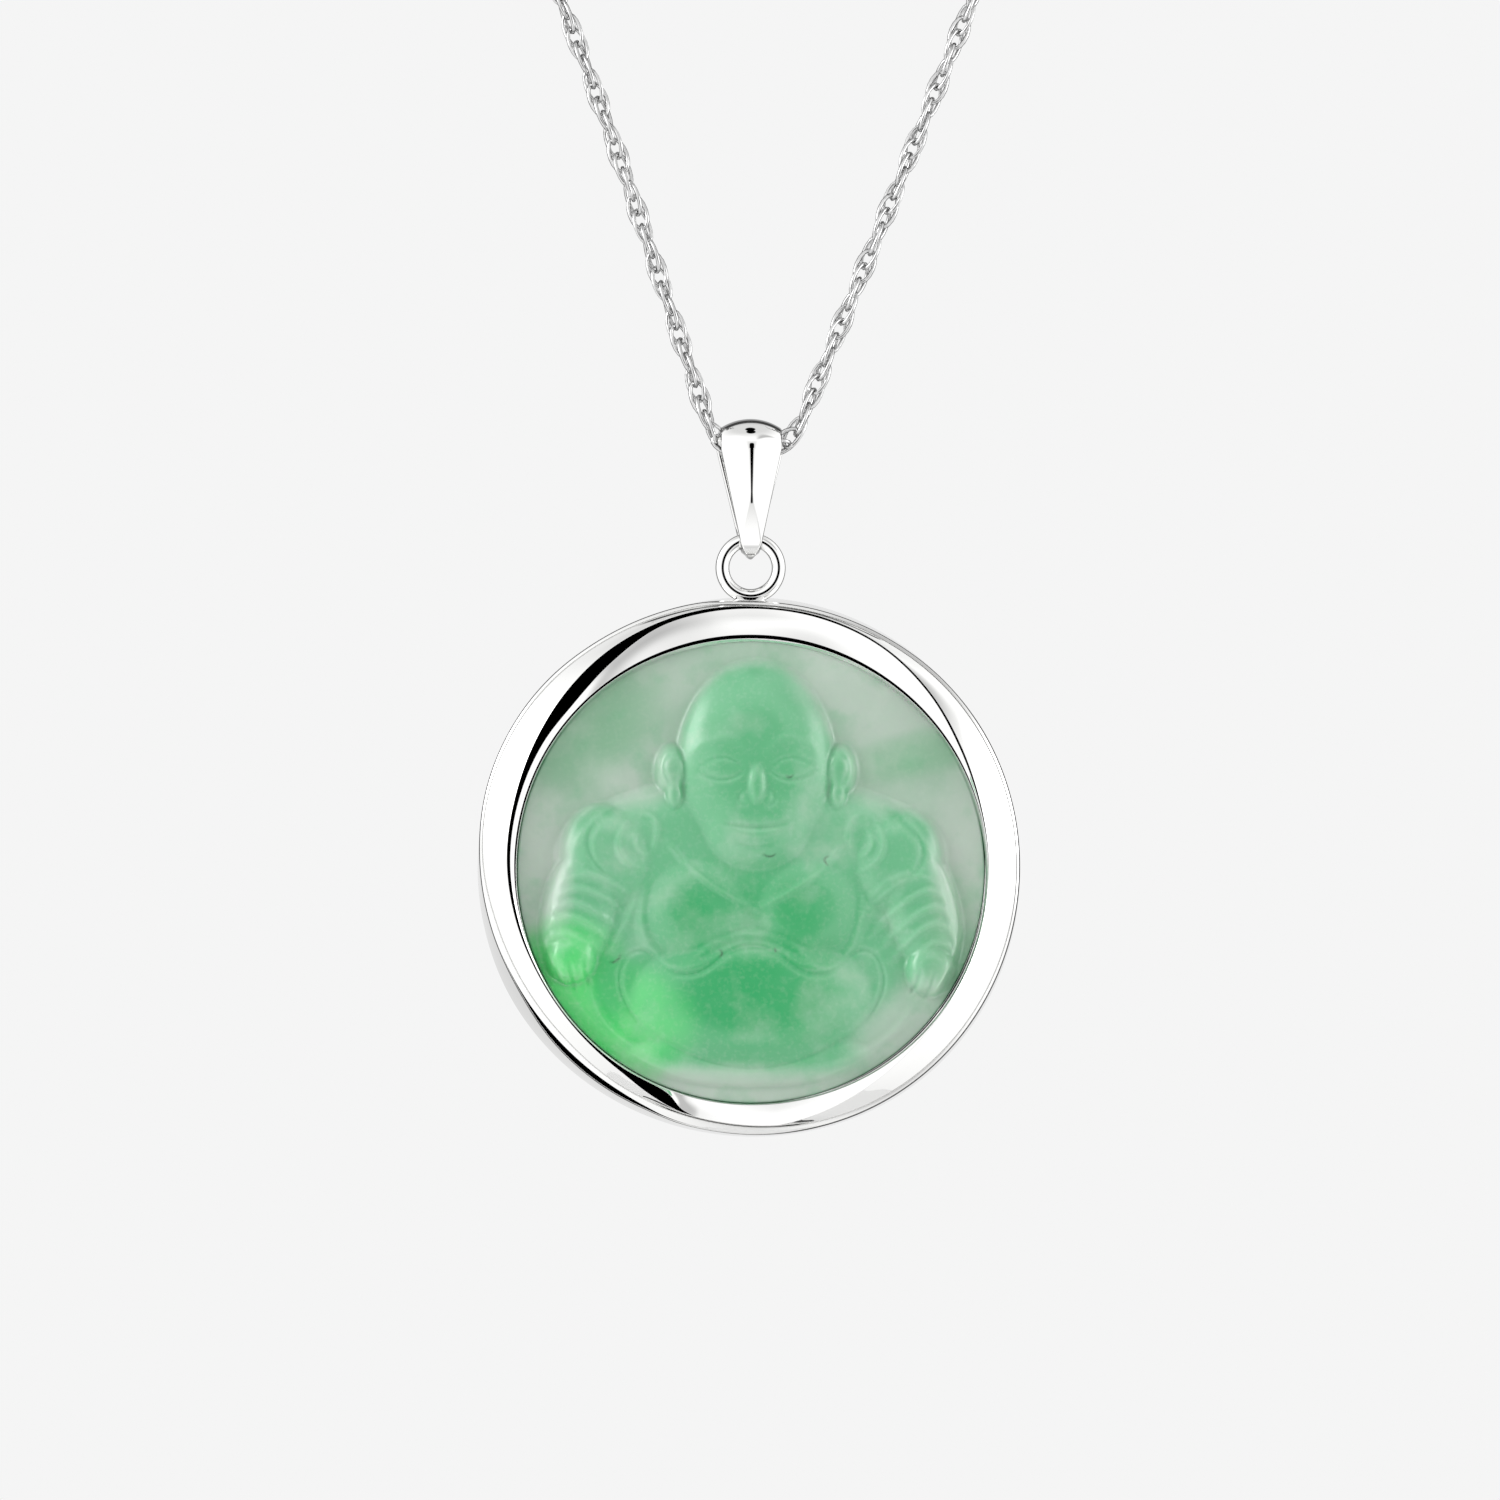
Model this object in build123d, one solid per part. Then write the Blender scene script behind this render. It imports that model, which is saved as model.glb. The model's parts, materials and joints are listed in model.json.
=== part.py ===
from build123d import *
import math
import os

os.makedirs("parts", exist_ok=True)

# A jade circle pendant on a rope chain, as it hangs on a neck. Millimetres, +Z up, front towards -Y.
# The origin is the centre of the neck, at the level where the chain goes round its sides.

# Chain
chain_d = 1.1
chain_joint_gap = 0.04
# Chosen points of each half, from the middle of the bail, up the chest and round the neck.
# The first and the last are trimmed to the gap in the bail and to the clasp.
chain_route = {
    "chain_right": [
        (0.0, -57.0, -128.0), (1.95, -57.0, -128.0), (10.8, -53.0, -106.5), (25.5, -42.2, -69.0),
        (38.2, -25.6, -33.5), (46.2, -6.2, -5.7), (47.6, 9.8, 7.6), (42.6, 24.8, 14.4),
        (30.8, 36.2, 17.8), (16.4, 42.2, 19.2), (4.7, 43.8, 19.5)],
    "chain_left": [
        (0.0, -57.0, -128.0), (-1.95, -57.0, -128.0), (-9.2, -53.0, -106.5), (-24.4, -42.2, -69.0),
        (-38.2, -25.6, -33.5), (-46.2, -6.2, -5.7), (-47.6, 9.8, 7.6), (-42.6, 24.8, 14.4),
        (-30.8, 36.2, 17.8), (-16.4, 42.2, 19.2), (-4.7, 43.8, 19.5)],
}
bend_share = 0.45

# Clasp at the nape
clasp_ring_d = 5.4
clasp_wire_d = 1.2
clasp_eye_d = 2.0
clasp_eye_wire_d = 0.5
clasp_eye_sink = 0.15
clasp_gap = 0.12

# Bail
bail_drop = 4.45
bail_top_clearance = 0.25
bail_top_wall = 0.35
bail_dome = 0.46
bail_cheek_wall = 0.24
bail_ridge = 0.6
bail_ring_clearance = 0.13
bail_foot_wall = 0.5
bail_foot_cheek_wall = 0.38
bail_foot_ridge = 0.6
bail_top_width = 3.02
bail_foot_width = 1.16
bail_facet_drop = 2.2
bail_facet_bow = 0.05
bail_facet_rise = 0.56
bail_room_share = 0.86

# Soldered ring
ring_hole_d = 2.1
ring_wire_d = 0.72
ring_sink = 0.25

# Frame
frame_band = 1.9
frame_ledge = 0.6
frame_ledge_reach = 0.75
frame_edge_depth = 2.45
frame_edge_bevel = 0.17
frame_ridge_depth = 3.4
frame_bevel_slope = 0.42
frame_band_bow = 0.07
frame_hang_depth = 1.51
frame_back_stock = 0.1
# Sections round the frame, clockwise from the top as seen from the front: the angle in degrees,
# the back, the front edge and the lip as shares of the band's width beyond the jade's seat, and
# the ridge's place from lip to edge.
frame_sections = [
    # angle, back, edge, lip, ridge
    (0, 1.06, 0.95, 0.01, 0.92),
    (15, 1.06, 0.96, 0.02, 0.89),
    (30, 1.05, 0.97, 0.04, 0.78),
    (45, 1.04, 0.99, 0.05, 0.54),
    (60, 1.03, 1.00, 0.05, 0.22),
    (75, 1.01, 0.97, 0.06, 0.05),
    (95, 1.00, 0.93, 0.07, 0.05),
    (115, 1.02, 0.91, 0.07, 0.05),
    (135, 1.01, 0.87, 0.06, 0.10),
    (150, 0.97, 0.84, 0.04, 0.34),
    (165, 0.91, 0.81, 0.03, 0.68),
    (178, 0.85, 0.77, 0.02, 0.90),
    (188, 0.85, 0.74, 0.01, 0.81),
    (196, 0.86, 0.72, 0.01, 0.60),
    (204, 0.87, 0.71, 0.01, 0.22),
    (213, 0.89, 0.71, 0.01, 0.09),
    (228, 0.94, 0.73, 0.02, 0.05),
    (243, 0.99, 0.73, 0.03, 0.05),
    (258, 1.00, 0.86, 0.03, 0.11),
    (272, 1.00, 0.98, 0.03, 0.20),
    (287, 1.00, 1.12, 0.11, 0.18),
    (301, 1.00, 1.18, 0.12, 0.24),
    (313, 1.00, 1.20, 0.07, 0.35),
    (326, 1.01, 1.16, 0.04, 0.54),
    (339, 1.03, 1.08, 0.01, 0.77),
    (350, 1.05, 1.03, 0.01, 0.86),
]

# Jade
jade_d = 23.3
jade_clearance = 0.05
jade_rim_depth = 2.2
relief_height = 1.5
relief_rings = 18
relief_steps = 64
relief_blend = 4.0
# The carving's forms: places and half sizes as shares of the disc's radius, a lean in degrees,
# and the height as a share of the relief's.
carving_forms = [
    # name, across, up, half width, half height, lean, height
    ("robe", 0.0, -0.33, 0.88, 0.61, 0, 0.34),
    ("shoulders", 0.0, 0.02, 0.85, 0.38, 0, 0.42),
    ("lap", 0.0, -0.79, 0.56, 0.15, 0, 0.40),
    ("belly", 0.0, -0.55, 0.55, 0.33, 0, 0.86),
    ("left chest", -0.25, -0.16, 0.26, 0.23, 12, 0.68),
    ("right chest", 0.25, -0.16, 0.26, 0.23, -12, 0.68),
    ("left sleeve", -0.63, 0.09, 0.19, 0.24, 20, 0.56),
    ("right sleeve", 0.65, 0.05, 0.19, 0.24, -20, 0.56),
    ("left arm", -0.73, -0.17, 0.16, 0.34, -14, 0.52),
    ("right arm", 0.73, -0.17, 0.16, 0.34, 14, 0.52),
    ("left hand", -0.77, -0.38, 0.12, 0.12, 0, 0.70),
    ("right hand", 0.77, -0.43, 0.12, 0.12, 0, 0.70),
    ("left ear", -0.38, 0.45, 0.08, 0.17, -4, 0.52),
    ("right ear", 0.41, 0.45, 0.08, 0.17, 4, 0.52),
    ("head", 0.02, 0.43, 0.36, 0.47, 0, 0.92),
    ("chin", 0.01, 0.14, 0.27, 0.20, 0, 0.80),
    ("nose", 0.02, 0.38, 0.06, 0.13, 0, 0.99),
]

chain_r = chain_d / 2
clasp_ring_r = (clasp_ring_d - clasp_wire_d) / 2
clasp_eye_r = (clasp_eye_d - clasp_eye_wire_d) / 2
clasp_reach = clasp_ring_d / 2 + clasp_eye_d / 2 - clasp_eye_sink
ring_wire_r = ring_wire_d / 2
ring_r = (ring_hole_d + ring_wire_d) / 2
jade_r = jade_d / 2
seat_r = jade_r + jade_clearance

# Where things hang: the chain's axis in the bail, the top of the ring's wire, the frame's centre,
# and the frame's side wall at the depth where the ring is soldered on.
bail_y = chain_route["chain_right"][0][1]
bail_z = chain_route["chain_right"][0][2]
wire_z = bail_z - bail_drop
ring_z = wire_z - ring_r
top_back_r = seat_r + frame_band * frame_sections[0][1]
top_edge_r = seat_r + frame_band * frame_sections[0][2]
wall_slope = (top_edge_r - top_back_r) / (frame_edge_depth - frame_edge_bevel)
wall_r = top_back_r + wall_slope * frame_hang_depth
frame_z = ring_z - ring_r - ring_wire_r - wall_r + ring_sink
frame_back_y = bail_y + frame_hang_depth


def pendant_point(radius, depth, angle_deg=0.0):
    """A place on the pendant: out from the frame's centre, forward of its back, clockwise from the top."""
    angle = math.radians(angle_deg)
    return Vector(radius * math.sin(angle), frame_back_y - depth, frame_z + radius * math.cos(angle))


def side_point(depth, up):
    """A place in the bail's middle plane: forward of the chain's axis and up from it."""
    return Vector(0, bail_y - depth, bail_z + up)


def bend_radii(points):
    """The radius at each corner of a route: as large as its two runs allow."""
    radii = []
    for before, corner, after in zip(points, points[1:], points[2:]):
        run_in = Vector(*corner) - Vector(*before)
        run_out = Vector(*after) - Vector(*corner)
        half_turn = math.radians(run_in.get_angle(run_out)) / 2
        radii.append(bend_share * min(run_in.length, run_out.length) / math.tan(half_turn))
    return radii


def chain_half(name):
    """One half of the chain: a tube of its width along its route, a hair short of the middle."""
    points = list(chain_route[name])
    side = math.copysign(1, points[1][0])
    clasp_end = clasp_reach + clasp_eye_d / 2 + clasp_gap
    points[0] = (side * chain_joint_gap / 2, points[0][1], points[0][2])
    points[-1] = (side * clasp_end, points[-1][1], points[-1][2])
    radii = bend_radii(points)
    path = Wire(FilletPolyline(*points, radius=radii).edges())
    start = Plane(origin=path @ 0, z_dir=path % 0)
    tube = sweep(start * Circle(chain_r), path=path)
    ideal = math.pi * chain_r ** 2 * path.length
    print(name, "length", round(path.length, 2), "radii", [round(r, 2) for r in radii])
    print(name, "volume", round(tube.volume, 3), "section times length", round(ideal, 3))
    return tube


def clasp():
    """The clasp: a ring with an eye soldered on each side for the chain's ends."""
    across, back, up = chain_route["chain_right"][-1]
    body = Pos(0, back, up) * Rot(90, 0, 0) * Torus(clasp_ring_r, clasp_wire_d / 2)
    eye = Rot(90, 0, 0) * Torus(clasp_eye_r, clasp_eye_wire_d / 2)
    for side in (-1, 1):
        body = body + Pos(side * clasp_reach, back, up) * eye
    return body


def bail():
    """The bail: a domed top round the chain, ridged cheeks that taper, and a foot through the ring."""
    inner_r = chain_r + bail_top_clearance
    foot_inner_r = ring_wire_r + bail_ring_clearance
    dome_edge_r = inner_r + bail_top_wall
    top_ridge_r = dome_edge_r + bail_dome
    foot_r = foot_inner_r + bail_foot_wall
    half_top = bail_top_width / 2
    half_foot = bail_foot_width / 2

    def ridged_section(up):
        """A level cut through the ridged cheeks, as six corners."""
        share = max(-up, 0.0) / bail_drop
        half = half_top + (half_foot - half_top) * share
        cheek_top = inner_r + bail_cheek_wall
        cheek_foot = foot_inner_r + bail_foot_cheek_wall
        cheek = cheek_top + (cheek_foot - cheek_top) * share
        ridge = cheek + bail_ridge + (bail_foot_ridge - bail_ridge) * share
        corners = [(-half, cheek), (0, ridge), (half, cheek), (half, -cheek), (0, -ridge), (-half, -cheek)]
        return Wire.make_polygon([Vector(x, bail_y - d, bail_z + up) for x, d in corners], close=True)

    # Each loft runs past the shape, which the cuts below bring to its size
    lowest = -bail_drop - foot_r
    highest = top_ridge_r + bail_top_wall
    cheeks = Solid.make_loft([ridged_section(lowest - bail_top_wall), ridged_section(0)], True)
    upper = Solid.make_loft([ridged_section(0), ridged_section(highest)], True)
    body = cheeks + upper

    # The domed top, turned about the chain's axis, and the room left open below it
    dome_line = ThreePointArc(
        Vector(-half_top, bail_y, bail_z + dome_edge_r),
        Vector(0, bail_y, bail_z + top_ridge_r),
        Vector(half_top, bail_y, bail_z + dome_edge_r))
    dome_base = Polyline(
        Vector(half_top, bail_y, bail_z + dome_edge_r),
        Vector(half_top, bail_y, bail_z),
        Vector(-half_top, bail_y, bail_z),
        Vector(-half_top, bail_y, bail_z + dome_edge_r))
    dome_face = make_face(dome_line.edges() + dome_base.edges())
    dome = revolve(dome_face, Axis((0, bail_y, bail_z), (1, 0, 0)), 360)
    room_width = bail_top_width + 2 * top_ridge_r
    below = Pos(0, bail_y, bail_z + lowest) * Box(room_width, room_width, -2 * lowest)
    body = body & (dome + below)

    # The side view: facets that close in from the cheeks and run out into the rounded foot
    facet_depth = foot_r + bail_facet_rise
    facet_height = bail_drop - bail_facet_drop
    facet_lean = math.acos(foot_r / math.hypot(facet_depth, facet_height))
    facet_lean -= math.atan2(facet_height, facet_depth)
    facet_foot_depth = foot_r * math.cos(facet_lean)
    facet_foot_up = -bail_drop - foot_r * math.sin(facet_lean)
    facet_mid_depth = (facet_depth + facet_foot_depth) / 2 + bail_facet_bow
    facet_mid_up = (facet_foot_up - bail_facet_drop) / 2
    top_depth = 2 * top_ridge_r
    facet_line = []
    for side in (1, -1):
        facet_line.append(ThreePointArc(
            side_point(side * facet_depth, -bail_facet_drop),
            side_point(side * facet_mid_depth, facet_mid_up),
            side_point(side * facet_foot_depth, facet_foot_up)))
    foot_line = ThreePointArc(
        side_point(facet_foot_depth, facet_foot_up),
        side_point(0, lowest),
        side_point(-facet_foot_depth, facet_foot_up))
    top_line = Polyline(
        side_point(facet_depth, -bail_facet_drop),
        side_point(top_depth, 0),
        side_point(top_depth, top_depth),
        side_point(-top_depth, top_depth),
        side_point(-top_depth, 0),
        side_point(-facet_depth, -bail_facet_drop))
    side_face = make_face(
        facet_line[0].edges() + facet_line[1].edges() + foot_line.edges() + top_line.edges())
    side_cut = extrude(side_face, bail_top_width, dir=(1, 0, 0), both=True)
    body = body & side_cut

    # The loop inside: from round the chain to round the ring's wire
    lean = math.asin((inner_r - foot_inner_r) / bail_drop)
    chain_side = (inner_r * math.cos(lean), -inner_r * math.sin(lean))
    wire_side = (foot_inner_r * math.cos(lean), -bail_drop - foot_inner_r * math.sin(lean))
    loop_line = []
    loop_line.append(ThreePointArc(
        side_point(*chain_side), side_point(0, inner_r), side_point(-chain_side[0], chain_side[1])))
    loop_line.append(ThreePointArc(
        side_point(*wire_side),
        side_point(0, -bail_drop - foot_inner_r),
        side_point(-wire_side[0], wire_side[1])))
    for side in (1, -1):
        loop_line.append(Line(
            side_point(side * chain_side[0], chain_side[1]),
            side_point(side * wire_side[0], wire_side[1])))
    loop_edges = [edge for line in loop_line for edge in line.edges()]
    loop = extrude(make_face(loop_edges), bail_top_width, dir=(1, 0, 0), both=True)
    body = body - loop

    # The foot is hollowed so that the ring can swing: the ring's hole turned about its top wire
    room_r = ring_hole_d / 2 - bail_ring_clearance
    reach = room_r * bail_room_share
    deep = ring_r - math.sqrt(room_r ** 2 - reach ** 2)
    room_line = ThreePointArc(
        Vector(-reach, bail_y, wire_z - deep),
        Vector(0, bail_y, wire_z - (ring_r - room_r)),
        Vector(reach, bail_y, wire_z - deep))
    room_base = Polyline(
        Vector(reach, bail_y, wire_z - deep), Vector(reach, bail_y, wire_z),
        Vector(-reach, bail_y, wire_z), Vector(-reach, bail_y, wire_z - deep))
    room_face = make_face(room_line.edges() + room_base.edges())
    room = revolve(room_face, Axis((0, bail_y, wire_z), (1, 0, 0)), 360)
    return body - room


def frame_section(angle, back, edge, lip, ridge):
    """A radial cut through the frame: back, side wall, edge, band, ridge, bevel, seat and ledge."""
    back_r = seat_r + frame_band * back
    edge_r = seat_r + frame_band * edge
    lip_r = seat_r + frame_band * lip
    band_r = edge_r - frame_edge_bevel
    ridge_r = lip_r + (band_r - lip_r) * ridge
    ledge_r = seat_r - frame_ledge_reach
    lip_depth = frame_ridge_depth - frame_bevel_slope * (ridge_r - lip_r)
    band_mid = ((ridge_r + band_r) / 2, (frame_ridge_depth + frame_edge_depth) / 2 + frame_band_bow)
    bevel_mid = ((ridge_r + lip_r) / 2, (frame_ridge_depth + lip_depth) / 2 - frame_band_bow * ridge / 2)

    def at(radius, depth):
        return pendant_point(radius, depth, angle)

    outline = [
        Polyline(at(ledge_r, frame_ledge), at(ledge_r, -frame_back_stock)),
        Polyline(at(ledge_r, -frame_back_stock), at(back_r, -frame_back_stock)),
        Polyline(at(back_r, -frame_back_stock), at(back_r, 0)),
        Polyline(at(back_r, 0), at(edge_r, frame_edge_depth - frame_edge_bevel)),
        Polyline(at(edge_r, frame_edge_depth - frame_edge_bevel), at(band_r, frame_edge_depth)),
        ThreePointArc(at(band_r, frame_edge_depth), at(*band_mid), at(ridge_r, frame_ridge_depth)),
        ThreePointArc(at(ridge_r, frame_ridge_depth), at(*bevel_mid), at(lip_r, lip_depth)),
        Polyline(at(lip_r, lip_depth), at(seat_r, frame_ledge)),
        Polyline(at(seat_r, frame_ledge), at(ledge_r, frame_ledge)),
    ]
    return Wire([edge for line in outline for edge in line.edges()])


def bezel_frame():
    """The frame with its ledge and seat, its back ground flat, and the ring soldered on top."""
    sections = [frame_section(*row) for row in frame_sections]
    sections.append(sections[0])
    body = Solid.make_loft(sections, False)
    back_cut = Box(4 * seat_r, 2 * frame_back_stock, 4 * seat_r)
    body = body - Pos(0, frame_back_y + frame_back_stock, frame_z) * back_cut
    ring = Pos(0, bail_y, ring_z) * Rot(90, 0, 0) * Torus(ring_r, ring_wire_r)
    return body + ring


def relief(across, up):
    """The carving's height above its ground, as a share of the relief, at shares of the radius."""
    total = 0.0
    for name, x, z, half_x, half_z, lean, height in carving_forms:
        turn = math.radians(lean)
        dx = (across - x) * math.cos(turn) + (up - z) * math.sin(turn)
        dz = (up - z) * math.cos(turn) - (across - x) * math.sin(turn)
        away = (dx / half_x) ** 2 + (dz / half_z) ** 2
        if away < 1:
            total += (height * (1 - away ** 2)) ** relief_blend
    return total ** (1 / relief_blend)


def jade_carving():
    """The jade: a disc on the ledge with the seated figure raised on its front, in small facets."""
    back_depth = frame_ledge + jade_clearance
    rings = [jade_r * i / relief_rings for i in range(relief_rings + 1)]

    def front(radius, step):
        angle = math.radians(360 * step / relief_steps)
        across = radius * math.sin(angle)
        up = radius * math.cos(angle)
        height = relief_height * relief(across / jade_r, up / jade_r)
        return Vector(across, frame_back_y - jade_rim_depth - height, frame_z + up)

    def back(step):
        return pendant_point(jade_r, back_depth, 360 * step / relief_steps)

    grid = [[front(radius, step) for step in range(relief_steps)] for radius in rings]
    corners = []
    for step in range(relief_steps):
        after = (step + 1) % relief_steps
        corners.append([grid[0][0], grid[1][step], grid[1][after]])
        for inner, outer in zip(grid[1:], grid[2:]):
            corners.append([inner[step], outer[step], outer[after]])
            corners.append([inner[step], outer[after], inner[after]])
        rim = grid[-1]
        corners.append([rim[step], back(step), back(after)])
        corners.append([rim[step], back(after), rim[after]])
    corners.append([back(step) for step in range(relief_steps)])
    faces = [Face(Wire.make_polygon(points, close=True)) for points in corners]
    return Solid(Shell(faces))


parts = {
    "chain_right": chain_half("chain_right"),
    "chain_left": chain_half("chain_left"),
    "clasp": clasp(),
    "bail": bail(),
    "bezel_frame": bezel_frame(),
    "jade_carving": jade_carving(),
}
for node, shape in parts.items():
    export_step(shape, f"parts/{node}.step")
    print(node, "volume", round(shape.volume, 3), "centre", shape.center(CenterOf.MASS))
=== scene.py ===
import json
import math

import bpy
import numpy as np
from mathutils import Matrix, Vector


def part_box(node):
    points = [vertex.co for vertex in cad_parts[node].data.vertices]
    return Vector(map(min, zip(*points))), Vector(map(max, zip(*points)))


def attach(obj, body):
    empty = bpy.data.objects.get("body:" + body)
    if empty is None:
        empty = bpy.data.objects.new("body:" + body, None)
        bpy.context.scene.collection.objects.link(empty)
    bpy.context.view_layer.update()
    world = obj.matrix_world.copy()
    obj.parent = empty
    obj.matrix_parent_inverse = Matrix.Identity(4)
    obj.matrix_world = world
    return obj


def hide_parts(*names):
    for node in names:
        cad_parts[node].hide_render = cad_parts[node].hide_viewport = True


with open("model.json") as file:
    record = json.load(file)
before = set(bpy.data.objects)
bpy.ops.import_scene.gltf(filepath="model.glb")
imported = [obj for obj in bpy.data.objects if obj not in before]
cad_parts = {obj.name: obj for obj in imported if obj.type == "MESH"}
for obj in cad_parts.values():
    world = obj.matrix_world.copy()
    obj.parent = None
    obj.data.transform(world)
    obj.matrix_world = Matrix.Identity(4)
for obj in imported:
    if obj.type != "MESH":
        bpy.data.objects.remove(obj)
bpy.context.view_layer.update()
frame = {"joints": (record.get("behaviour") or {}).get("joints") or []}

# A jade circle pendant on a rope chain. Named lengths are in millimetres and named angles in
# degrees; MM brings a length to the scene's metres. Front is towards -Y, +Z is up.
MM = 0.001


# Places that the frame gives
joint_places = {joint["name"]: Vector(joint["pos_m"]) / MM for joint in frame["joints"]}
bail_axis = joint_places["bail_swing"]
wire_axis = joint_places["pendant_swing"]
jade_low, jade_high = (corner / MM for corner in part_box("jade_carving"))
frame_back_y = (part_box("bezel_frame")[1] / MM).y
frame_z = (jade_low.z + jade_high.z) / 2

# Camera: the photograph is 1500 pixels across and shows 0.05 mm a pixel at the pendant
photo_pixels = 1500
pixel_size = 0.05
camera_distance = 550.0
camera_near = 10.0
camera_far = 10000.0
camera_azimuth = -2.5
camera_elevation = -2.0
sensor_width = 36.0
centre_above_frame = 5.975
centre_left_of_frame = 0.025

# Studio: white all round, with soft patches that make it darker or brighter
background_grey = 0.913
white_level = 1.1
patch_table = [
    # name, azimuth, elevation, full within, gone beyond, level
    ("dark card", 2.5, 2.0, 16.0, 18.0, 0.0),
    ("card's soft edge", 2.5, 2.0, 18.0, 32.0, 0.72),
    ("grey lower right", 33.0, -33.0, 6.0, 24.0, 0.42),
    ("grey below", 0.0, -90.0, 20.0, 60.0, 0.80),
    ("grey under the facet", 2.0, -46.0, 4.0, 17.0, 0.72),
    ("grey upper right", 40.0, 40.0, 8.0, 22.0, 0.50),
    ("overhead", 0.0, 90.0, 22.0, 48.0, 0.68),
    ("black disc, low", 4.0, 70.0, 7.0, 9.0, 0.0),
    ("black disc, high", 4.0, 82.0, 7.0, 9.0, 0.0),
    ("left window", -72.0, 22.0, 8.0, 24.0, 5.0),
    ("right window", 70.0, 12.0, 8.0, 22.0, 3.5),
]
side_dark_start = 113.0
side_dark_full = 118.0
side_dark_end = 135.0
side_back_start = 141.0
side_dark_level = 0.1
back_level = 0.84
floor_drop = 1000.0
floor_radius = 600.0
floor_corners = 96
floor_grey = 0.86
floor_roughness = 0.8

# Silver: rougher and smoother from place to place, with painted shade that darkens its colour where
# it turns away
silver_noise_scale = 400.0
silver_smoothest = 0.7
silver_roughest = 1.3
silver_shade_start = 0.42
silver_shade_full = 0.75
silvers = [
    # name, colour, roughness, share of the colour lost to painted shade where it turns away
    # The chain's silver is painted darker than the other silvers, as painted shade
    ("chain_silver", (0.68, 0.68, 0.68, 1.0), 0.12, 0.95),
    ("clasp_silver", (0.92, 0.92, 0.91, 1.0), 0.06, 0.6),
    ("bail_silver", (0.95, 0.95, 0.94, 1.0), 0.03, 0.85),
    ("frame_silver", (0.95, 0.95, 0.94, 1.0), 0.03, 0.22),
]

# Chain
chain_pitch = 0.78
chain_turn = -42.6
chain_phase = 20.0
link_wire_d = 0.21
link_width = 1.06
link_slack = 0.02
link_steps = 16
wire_steps = 6
bend_share = 0.45
arc_step = 0.3
arc_least_steps = 8
front_steps = 3000
link_length = 2 * chain_pitch + link_wire_d + link_slack
# The route from the middle of the bail: each side's leg, then round the neck to the clasp, which
# is given for the right side and mirrored for the left
chain_legs = {
    "right": [
        (0.0, -57.0, -128.0), (1.95, -57.0, -128.0), (10.8, -53.0, -106.5), (25.5, -42.2, -69.0)],
    "left": [
        (0.0, -57.0, -128.0), (-1.65, -57.0, -128.0), (-8.6, -53.0, -106.5), (-24.0, -42.2, -69.0)],
}
chain_round_neck = [
    (38.2, -25.6, -33.5), (46.2, -6.2, -5.7), (47.6, 9.8, 7.6), (42.6, 24.8, 14.4),
    (30.8, 36.2, 17.8), (16.4, 42.2, 19.2), (4.67, 43.8, 19.5)]

# Clasp at the nape
clasp_ring_d = 5.4
clasp_wire_d = 1.2
clasp_eye_d = 2.0
clasp_eye_wire_d = 0.5
clasp_eye_sink = 0.15
clasp_eye_x = clasp_ring_d / 2 + clasp_eye_d / 2 - clasp_eye_sink
clasp_ring_steps = (96, 32)
clasp_eye_steps = (64, 20)

# Bail, with distances out from the line between the chain's axis and the ring's wire
bail_inner_r = 0.8
bail_foot_inner_r = 0.49
bail_cheek = 1.04
bail_foot_cheek = 0.87
bail_ridge_rise = 0.56
bail_ridge_softness = 0.12
bail_dome_edge = 1.15
bail_dome_rise = 0.46
bail_foot_r = 0.99
bail_half_top = 1.51
bail_half_foot = 0.58
bail_foot_round = 0.96
bail_facet_drop = 2.2
bail_facet_rise = 0.56
bail_facet_bow = 0.05
bail_room_r = 0.92
bail_room_share = 0.86
bail_crease = 0.05
bail_corner = 0.09
bail_back_extra = 0.14
bail_least_lean = 0.05
bail_outer_steps = 49
bail_inner_steps = 25
bail_cheek_steps = 150
bail_top_steps = 130
bail_foot_steps = 70
corner_shares = (0.33, 0.67)
# What follows from these: the height between the two axes, the dome's curve, and the facet, which
# leans (in radians) from its top to where it touches the rounded foot
bail_drop = bail_axis.z - wire_axis.z
dome_radius = (bail_half_top ** 2 + bail_dome_rise ** 2) / (2 * bail_dome_rise)
facet_top = bail_foot_r + bail_facet_rise
facet_height = bail_drop - bail_facet_drop
facet_lean = math.acos(bail_foot_r / math.hypot(facet_top, facet_height))
facet_lean -= math.atan2(facet_height, facet_top)
facet_length = facet_height + bail_foot_r * math.sin(facet_lean)

# Soldered ring
ring_r = 1.41
ring_wire_r = 0.36
solder_ring_steps = (160, 40)

# Frame, with radii from its centre and depths from its back
seat_r = 11.70
frame_ledge = 0.6
frame_ledge_reach = 0.75
frame_edge_depth = 2.45
frame_facet_slope = 0.6
frame_band_bow = 0.05
frame_line_slope = 2.0
frame_groove = 0.03
frame_steps = 600
frame_corner_steps = 4
# Roundings of its corners; the bowed faces take as much as the cut-back limit leaves
ledge_rounding = 0.06
back_rounding = 0.12
line_rounding = 0.01
ridge_rounding = 0.015
wall_rounding = 0.02
seat_rounding = 0.05
bow_rounding = 1.0
cut_back_limit = 0.49
# The least sizes of its narrow faces
least_width = 0.004
least_facet = 0.05
least_band = 0.06
least_bevel = 0.02
least_lip_drop = 0.01
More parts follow.
